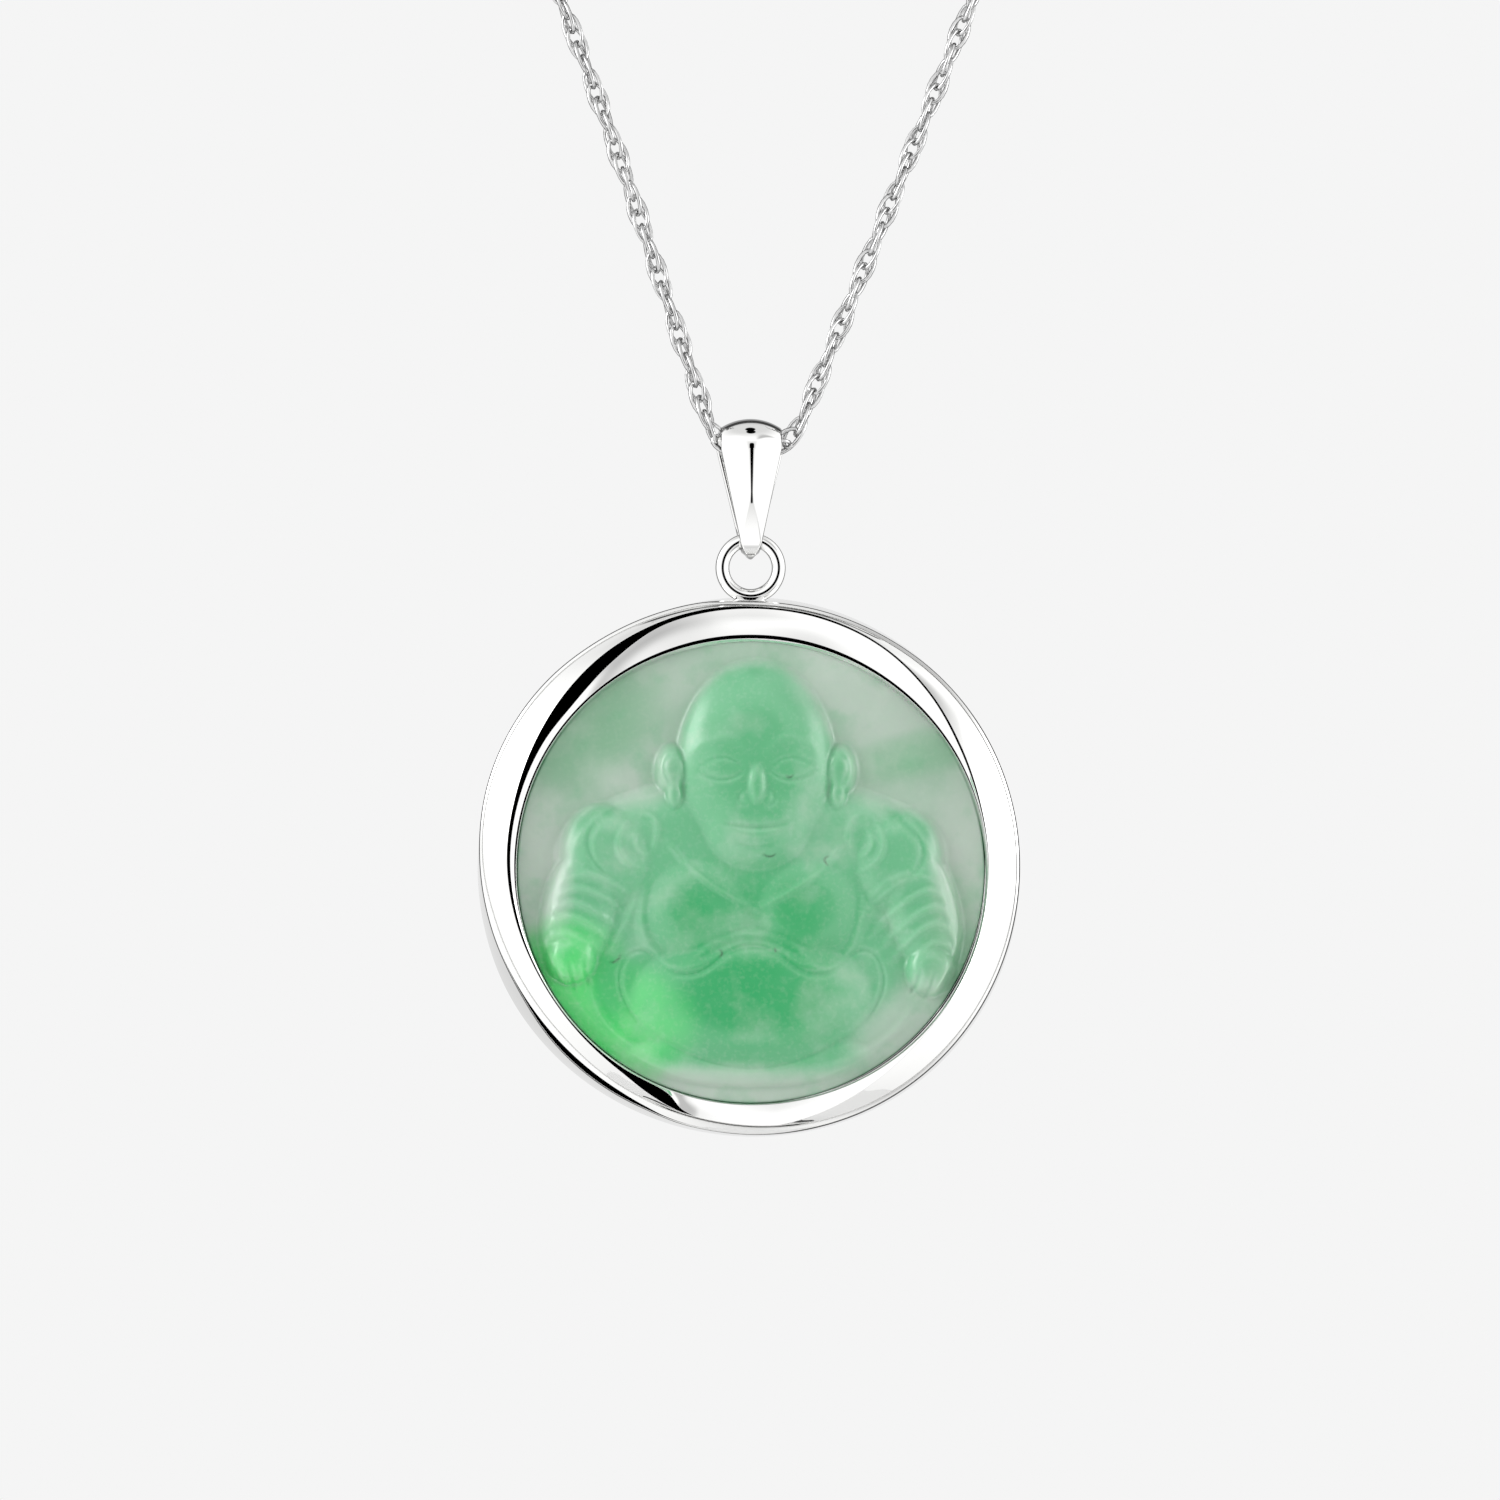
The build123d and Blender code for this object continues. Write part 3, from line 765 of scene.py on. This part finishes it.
def bail_outer(across, up, turn):
    """How far out the bail's outside lies at places across."""
    if up > -bail_drop and turn in (0.0, math.pi):
        return smooth_min(gable(across, up), facet(up), bail_crease)
    if up == 0.0:
        lean = max(abs(math.cos(turn)), bail_least_lean)
        return smooth_min(gable(across, up) / lean, dome(across), bail_crease)
    # Below the wire's axis the facet runs on to the rounded foot, which it touches
    below = math.asin(abs(math.sin(turn)))
    foot = bail_foot_r
    if below < facet_lean:
        straight = bail_foot_r / math.cos(facet_lean - below)
        foot = straight + facet_bow((facet_height + straight * math.sin(below)) / facet_length)
    lean = max(math.cos(below), bail_least_lean)
    foot_line = smooth_min(gable(across, -bail_drop) / lean, foot, bail_crease)
    return foot_line + (foot - foot_line) * math.sin(below) ** 2


def bail_inner(across, up, turn):
    """How far out the bail's inside lies at places across, with room for the ring's bent wire."""
    reach = np.minimum(np.abs(across), bail_room_r * bail_room_share)
    room = ring_r - np.sqrt(bail_room_r ** 2 - reach ** 2)
    if turn in (0.0, math.pi):
        stadium = bail_inner_r + (bail_foot_inner_r - bail_inner_r) * (-up / bail_drop)
        near_wire = np.sqrt(np.maximum(room ** 2 - (up + bail_drop) ** 2, 0.0))
        return np.maximum(stadium, near_wire)
    if up == 0.0:
        return np.full_like(across, bail_inner_r)
    return np.maximum(room, bail_foot_inner_r)


def bail_section(up, turn):
    """A cut across the strap: its outside, right edge, inside and left edge."""
    outer_half = inner_half = bail_half(up)
    if turn > math.pi:
        outer_half = foot_half(-math.sin(turn) * bail_foot_r)
        inner_half = foot_half(-math.sin(turn) * bail_foot_inner_r)
    extra = bail_back_extra * (1 - math.cos(turn)) / 2 * (1 + up / bail_drop)
    outer_half, inner_half = outer_half + extra, inner_half + extra
    spread = np.linspace(-1, 1, bail_outer_steps) * (outer_half - bail_corner)
    outside = list(zip(spread, bail_outer(spread, up, turn)))
    spread = np.linspace(1, -1, bail_inner_steps) * (inner_half - bail_corner)
    inside = list(zip(spread, bail_inner(spread, up, turn)))
    edge = float(bail_outer(np.array([outer_half]), up, turn)[0])
    base = float(bail_inner(np.array([inner_half]), up, turn)[0])
    side_top, side_foot = (outer_half, edge - bail_corner), (inner_half, base + bail_corner)
    side_middle = tuple((top + foot) / 2 for top, foot in zip(side_top, side_foot))
    right = [curve(outside[-1], (outer_half, edge), side_top, share) for share in corner_shares]
    right += [side_top, side_middle, side_foot]
    right += [curve(side_foot, (inner_half, base), inside[0], share) for share in corner_shares]
    left = [(-x, out) for x, out in reversed(right)]
    return outside + right + inside + left


def bail():
    """The folded bail: a domed top round the chain, ridged cheeks, a facet, and a rounded foot."""
    ups = np.linspace(-bail_drop, 0, bail_cheek_steps)
    top_turns = np.linspace(0, math.pi, bail_top_steps)[1:-1]
    foot_turns = np.linspace(math.pi, 2 * math.pi, bail_foot_steps)[1:-1]
    stations = [(up, 0.0) for up in ups] + [(0.0, turn) for turn in top_turns]
    stations += [(up, math.pi) for up in ups[::-1]] + [(-bail_drop, turn) for turn in foot_turns]
    points = []
    for up, turn in stations:
        for x, out in bail_section(up, turn):
            points.append((
                x, bail_axis.y - out * math.cos(turn), bail_axis.z + up + out * math.sin(turn)))
    faces = wrapped_grid(len(stations), len(points) // len(stations))
    new_piece("folded_bail", points, faces, bail_silver, "bail", ["bail"])


# Frame

def rounded_outline(corners):
    """A closed outline through its corners, each cut back by its own rounding."""
    outline = []
    for index, (place, rounding) in enumerate(corners):
        place = np.array(place)
        ends = []
        for other in (corners[index - 1][0], corners[(index + 1) % len(corners)][0]):
            way = np.array(other) - place
            ends.append(place + way * min(rounding / np.linalg.norm(way), cut_back_limit))
        for step in range(frame_corner_steps + 1):
            outline.append(curve(ends[0], place, ends[1], step / frame_corner_steps))
    return outline


def periodic(column, turns):
    """A column of the frame's table at any angle, smooth through every row and round the top."""
    angles = np.array([row[0] for row in frame_sections], float)
    values = np.array([row[column] for row in frame_sections], float)
    angles = np.concatenate([angles[-2:] - 360, angles, angles[:2] + 360])
    values = np.concatenate([values[-2:], values, values[:2]])
    slopes = (values[2:] - values[:-2]) / (angles[2:] - angles[:-2])
    spot = np.searchsorted(angles, turns, side="right") - 1
    width = angles[spot + 1] - angles[spot]
    share = (turns - angles[spot]) / width
    square, cube = share ** 2, share ** 3
    return (
        (2 * cube - 3 * square + 1) * values[spot]
        + (cube - 2 * square + share) * (slopes[spot - 1] * width)
        + (3 * square - 2 * cube) * values[spot + 1]
        + (cube - square) * (slopes[spot] * width))


def frame_corners(sizes):
    """A radial cut through the frame: its corners with their roundings, from the back."""
    back_r, edge_r, line, flat, facet_width, ridge_out, ridge_in, ridge_depth = sizes[:8]
    lip_r, lip_flat, lip_depth, wall_r = sizes[8:]
    ledge_r = seat_r - frame_ledge_reach
    flat_in = edge_r - line - max(flat, least_width)
    groove_r = edge_r - line - max(facet_width, flat + least_facet)
    groove_depth = frame_edge_depth + frame_facet_slope * (flat_in - groove_r)
    band_r = groove_r - 2 * frame_groove
    ridge_out = min(ridge_out, band_r - least_band)
    ridge_in = min(ridge_in, ridge_out - least_width)
    lip_out = min(lip_r + lip_flat, ridge_in - least_bevel)
    lip_depth = min(lip_depth, ridge_depth - least_lip_drop)
    wall_depth = jade_rim_depth + jade_gap
    band_middle = ((ridge_out + band_r) / 2, (ridge_depth + groove_depth) / 2 + frame_band_bow)
    fall = frame_band_bow * (ridge_in - lip_out) / (edge_r - seat_r)
    bevel_middle = ((ridge_in + lip_out) / 2, (ridge_depth + lip_depth) / 2 - fall)
    return [
        ((ledge_r, 0), ledge_rounding),
        ((back_r, 0), back_rounding),
        ((edge_r, frame_edge_depth - frame_line_slope * line), line_rounding),
        ((edge_r - line, frame_edge_depth), line_rounding),
        ((flat_in, frame_edge_depth), line_rounding),
        ((groove_r, groove_depth), line_rounding),
        ((groove_r - frame_groove, groove_depth - frame_groove), line_rounding),
        ((band_r, groove_depth + frame_groove), line_rounding),
        (band_middle, bow_rounding),
        ((ridge_out, ridge_depth), ridge_rounding),
        ((ridge_in, ridge_depth), ridge_rounding),
        (bevel_middle, bow_rounding),
        ((lip_out, lip_depth), ridge_rounding),
        ((lip_r, lip_depth), ridge_rounding),
        ((wall_r, wall_depth), wall_rounding),
        ((seat_r, wall_depth), wall_rounding),
        ((seat_r, frame_ledge), seat_rounding),
        ((ledge_r, frame_ledge), seat_rounding),
    ]


def bezel_frame():
    """The frame: wall, edge, band, ridge and bevel change round it, and the ring is on its top."""
    turns = np.arange(frame_steps) * 360 / frame_steps
    columns = [periodic(column, turns) for column in range(1, len(frame_sections[0]))]
    points = []
    for turn, *sizes in zip(turns, *columns):
        angle = math.radians(turn)
        for radius, depth in rounded_outline(frame_corners(sizes)):
            points.append((
                radius * math.sin(angle), frame_back_y - depth, frame_z + radius * math.cos(angle)))
    piece = new_piece(
        "swirling_frame", points, wrapped_grid(frame_steps, len(points) // frame_steps),
        frame_silver, "pendant", ["bezel_frame"])
    ring_centre = (0.0, wire_axis.y, wire_axis.z - ring_r)
    merge(piece, *torus(ring_centre, ring_r, ring_wire_r, solder_ring_steps))


# Jade

def oval(across, up, x, z, half_x, half_z, lean):
    """How each place lies to a leaning oval: 0 at its middle and 1 on its edge, by the square."""
    turn = math.radians(lean)
    dx = (across - x) * math.cos(turn) + (up - z) * math.sin(turn)
    dz = (up - z) * math.cos(turn) - (across - x) * math.sin(turn)
    return (dx / half_x) ** 2 + (dz / half_z) ** 2


def relief(across, up):
    """The carving's height above its ground, as a share of the relief."""
    total = np.zeros_like(across)
    for _, *shape, height in carving_forms:
        away = oval(across, up, *shape)
        total += np.maximum(height * (1 - away ** 2), 0.0) ** relief_blend
    return total ** (1 / relief_blend)


def near_line(across, up, places, half_width):
    """How near each place lies to a bowed line through three places: 1 on it, fading to 0."""
    start, middle, end = (np.array(place) for place in places)
    bend = 2 * middle - (start + end) / 2
    shares = np.linspace(0, 1, line_runs + 1)
    line = [start * (1 - t) ** 2 + bend * 2 * t * (1 - t) + end * t ** 2 for t in shares]
    nearness = np.zeros_like(across)
    for first, last, share in zip(line, line[1:], shares[1:]):
        way = last - first
        along = (across - first[0]) * way[0] + (up - first[1]) * way[1]
        along = np.clip(along / np.dot(way, way), 0, 1)
        away = (across - first[0] - along * way[0]) ** 2 + (up - first[1] - along * way[1]) ** 2
        fade = math.sin(math.pi * (share - line_fade_shift)) ** 0.5
        nearness = np.maximum(nearness, np.exp(-away / half_width ** 2) * fade)
    return nearness


def draw(field, places, half_width, amount):
    """Adds a bowed line to a map of the disc, within the line's own window."""
    margin = window_widths * half_width + window_margin
    scale = (map_size - 1) / 2 / disc_r
    low = np.clip((np.min(places, axis=0) - margin + disc_r) * scale, 0, map_size).astype(int)
    high = np.clip((np.max(places, axis=0) + margin + disc_r) * scale, 0, map_size).astype(int)
    across = np.arange(low[0], high[0])[None, :] / scale - disc_r
    up = np.arange(low[1], high[1])[:, None] / scale - disc_r
    across, up = np.broadcast_arrays(across, up)
    field[low[1]:high[1], low[0]:high[0]] += amount * near_line(across, up, places, half_width)


def sample(field, across, up):
    """A map's values at shares of the disc's radius, from the four cells round each place."""
    x = np.clip((across + 1) / 2 * (map_size - 1), 0, map_last_cell)
    z = np.clip((up + 1) / 2 * (map_size - 1), 0, map_last_cell)
    column, row = x.astype(int), z.astype(int)
    right, upper = x - column, z - row
    if field.ndim == 3:
        right, upper = right[..., None], upper[..., None]
    low = field[row, column] * (1 - right) + field[row, column + 1] * right
    high = field[row + 1, column] * (1 - right) + field[row + 1, column + 1] * right
    return low * (1 - upper) + high * upper


def blurred(field, reach):
    """A map softened over a reach in cells."""
    weights = np.exp(-np.linspace(-2, 2, 2 * reach + 1) ** 2)
    weights /= weights.sum()
    for axis in (0, 1):
        edges = [(0, 0), (0, 0)]
        edges[axis] = (reach, reach)
        padded = np.pad(field, edges, mode="edge")
        field = sum(
            weight * np.take(padded, range(step, step + map_size), axis=axis)
            for step, weight in enumerate(weights))
    return field


def tint(colour, shade, share):
    """Colours drawn towards a shade by a share."""
    return colour + (np.array(srgb(*shade)) - colour) * share[..., None]


def carving_maps():
    """Maps of the whole disc: the carving's height, and the stone's colour with painted highlight
    and shade from the relief.
    """
    cells = np.linspace(-disc_r, disc_r, map_size)
    across, up = np.meshgrid(cells, cells)
    forms = blurred(relief(across, up), form_blur)
    height = forms.copy()
    for _, *places, half_width, amount in carving_lines:
        draw(height, places, half_width, amount)
    height *= np.clip((disc_r - np.sqrt(across ** 2 + up ** 2)) / rim_fade, 0, 1)

    figure = blurred(np.clip(forms / figure_full_height, 0, 1), figure_blur)
    colour = tint(np.array(srgb(*ground_colour)), figure_colour, figure)
    for _, shade, x, z, half_x, half_z, lean, strength in stone_patches:
        away = oval(across, up, x, z, half_x * patch_spread, half_z * patch_spread, lean)
        share = np.clip(1 - away, 0, 1)
        colour = tint(colour, stone_colours[shade], strength * share * share * (3 - 2 * share))
    # Painted highlight on raised edges and painted shade in hollows, from the relief's height
    crest = crest_strength * (height - blurred(height, crest_reach))
    colour = tint(colour, crest_highlight_colour, np.clip(crest, 0, crest_highlight_limit))
    colour = tint(colour, hollow_shade_colour, np.clip(-crest, 0, hollow_shade_limit))
    hairs = np.zeros_like(height)
    for places in stone_hairs:
        draw(hairs, places, hair_width, 1.0)
    return height, tint(colour, hair_colour, np.clip(hairs, 0, hair_limit))


def jade_profile():
    """Radii from the first ring out over the rounded rim to the back, and how far each drops."""
    thickness = jade_rim_depth - jade_back_depth
    flat_r = jade_r - jade_rim_round
    rim = []
    for step in range(1, jade_rim_steps + 1):
        turn = step / jade_rim_steps * math.pi / 2
        rim.append((
            jade_r - jade_rim_round * (1 - math.sin(turn)), jade_rim_round * (1 - math.cos(turn))))
    rim += [
        (jade_r, thickness - jade_rim_round), (flat_r, thickness),
        (jade_r * jade_back_ring_share, thickness)]
    rim_radii, rim_drops = zip(*rim)
    radii = np.concatenate([flat_r * np.linspace(0, 1, relief_rings + 1)[1:], rim_radii])
    return radii, np.concatenate([np.zeros(relief_rings), rim_drops])


def disc_faces(rings):
    """The faces between the disc's rings, with a fan at the front's middle and the back's."""
    grid = wrapped_grid(rings, relief_steps)[:-relief_steps]
    faces = [(first, after, beyond, beside) for first, beside, beyond, after in grid]
    front, last = rings * relief_steps, (rings - 1) * relief_steps
    for step in range(relief_steps):
        beside = (step + 1) % relief_steps
        faces += [(front, step, beside), (front + 1, last + beside, last + step)]
    return faces


def jade_carving():
    """The jade disc with the seated figure raised on its front."""
    height_map, colour_map = carving_maps()
    radii, drops = jade_profile()
    angles = np.arange(relief_steps) * 2 * math.pi / relief_steps
    radius, angle = np.meshgrid(radii, angles, indexing="ij")
    across, up = radius * np.sin(angle), radius * np.cos(angle)
    height = sample(height_map, across / jade_r, up / jade_r)
    height[relief_rings:] = 0
    depth = jade_rim_depth + relief_height * height - drops[:, None]
    points = np.stack([across, frame_back_y - depth, frame_z + up], axis=-1).reshape(-1, 3).tolist()
    middle = np.zeros(1)
    front_depth = jade_rim_depth + relief_height * float(sample(height_map, middle, middle)[0])
    points += [(0.0, frame_back_y - depth, frame_z) for depth in (front_depth, jade_back_depth)]
    piece = new_piece(
        "carved_jade", points, disc_faces(len(radii)), jade_stone, "pendant",
        ["jade_carving"])

    edge = np.clip((radius - rim_colour_start) / (jade_r - rim_colour_start), 0, 1)
    colour = tint(sample(colour_map, across / jade_r, up / jade_r), rim_colour, edge)
    colours = np.vstack([colour.reshape(-1, 4), colour[0, 0], colour[-1, -1]])
    stone = piece.data.attributes.new("stone_colour_and_shading", "FLOAT_COLOR", "POINT")
    stone.data.foreach_set("color", colours.astype(np.float32).ravel())


# Studio

def floor():
    """A plain pale floor below the pendant."""
    bpy.ops.mesh.primitive_circle_add(
        vertices=floor_corners, radius=floor_radius * MM, fill_type="NGON",
        location=(0, 0, -floor_drop * MM))
    disc = bpy.context.object
    disc.name = "floor"
    material, _ = new_material("floor_pale", {
        "Base Color": (floor_grey, floor_grey, floor_grey, 1.0), "Roughness": floor_roughness})
    disc.data.materials.append(material)


def direction(azimuth, elevation):
    """The way from the pendant to a place at this azimuth and elevation, in degrees."""
    a, e = math.radians(azimuth), math.radians(elevation)
    return Vector((math.sin(a) * math.cos(e), -math.cos(a) * math.cos(e), math.sin(e)))


def camera():
    """The camera at the photograph's angle, framed as the photograph is."""
    back = direction(camera_azimuth, camera_elevation)
    turn = (-back).to_track_quat("-Z", "Y")
    up, right = turn @ Vector((0, 1, 0)), turn @ Vector((1, 0, 0))
    aim = Vector((0, wire_axis.y, frame_z)) + up * centre_above_frame - right * centre_left_of_frame
    data = bpy.data.cameras.new("camera")
    data.sensor_width = sensor_width
    data.lens = sensor_width * camera_distance / (photo_pixels * pixel_size)
    data.clip_start, data.clip_end = camera_near * MM, camera_far * MM
    view = bpy.data.objects.new("camera", data)
    view.rotation_mode = "QUATERNION"
    view.rotation_quaternion = turn
    view.location = (aim + back * camera_distance) * MM
    bpy.context.scene.collection.objects.link(view)
    bpy.context.scene.camera = view


def studio():
    """White all round, with darker and brighter patches and a dark girdle behind the pendant."""
    world = bpy.data.worlds.new("studio")
    bpy.context.scene.world = world
    world.use_nodes = True
    nodes, links = world.node_tree.nodes, world.node_tree.links
    nodes.clear()
    place = nodes.new("ShaderNodeTexCoord")

    def calculate(operation, *levels):
        """A sum done on one or two levels."""
        node = nodes.new("ShaderNodeMath")
        node.operation = operation
        for level, socket in zip(levels, node.inputs):
            links.new(level, socket)
        return node.outputs["Value"]

    def angle_from(way):
        """The angle in degrees between where a ray goes and a direction."""
        dot = nodes.new("ShaderNodeVectorMath")
        dot.operation = "DOT_PRODUCT"
        links.new(place.outputs["Generated"], dot.inputs[0])
        dot.inputs[1].default_value = way
        return calculate("DEGREES", calculate("ARCCOSINE", dot.outputs["Value"]))

    def ramp(value, start, end, first, last):
        """A level that goes smoothly from one number to another as a value goes up."""
        node = fill(nodes.new("ShaderNodeMapRange"), {
            "From Min": start, "From Max": end, "To Min": first, "To Max": last})
        node.interpolation_type = "SMOOTHSTEP"
        links.new(value, node.inputs["Value"])
        return node.outputs["Result"]

    angles = [angle_from(direction(*row[1:3])) for row in patch_table]
    level = ramp(angles[0], side_dark_start, side_dark_full, white_level, side_dark_level)
    back_share = back_level / side_dark_level
    back = ramp(angles[0], side_dark_end, side_back_start, 1.0, back_share)
    level = calculate("MULTIPLY", level, back)
    for angle, (*_, within, beyond, patch_level) in zip(angles, patch_table):
        level = calculate("MULTIPLY", level, ramp(angle, within, beyond, patch_level, 1.0))
    seen = nodes.new("ShaderNodeLightPath")
    light = fill(nodes.new("ShaderNodeBackground"), {"Color": (1.0, 1.0, 1.0, 1.0)})
    links.new(level, light.inputs["Strength"])
    backdrop = fill(nodes.new("ShaderNodeBackground"), {
        "Color": (background_grey, background_grey, background_grey, 1.0)})
    both = nodes.new("ShaderNodeMixShader")
    links.new(seen.outputs["Is Camera Ray"], both.inputs["Fac"])
    links.new(light.outputs["Background"], both.inputs[1])
    links.new(backdrop.outputs["Background"], both.inputs[2])
    output = nodes.new("ShaderNodeOutputWorld")
    links.new(both.outputs["Shader"], output.inputs["Surface"])


chain_silver, clasp_silver, bail_silver, frame_silver = (metal(*finish) for finish in silvers)
jade_stone = jade_material()

chain_links("right")
chain_links("left")
clasp()
bail()
bezel_frame()
jade_carving()

bpy.context.scene.view_settings.view_transform = "Standard"
camera()
studio()
floor()
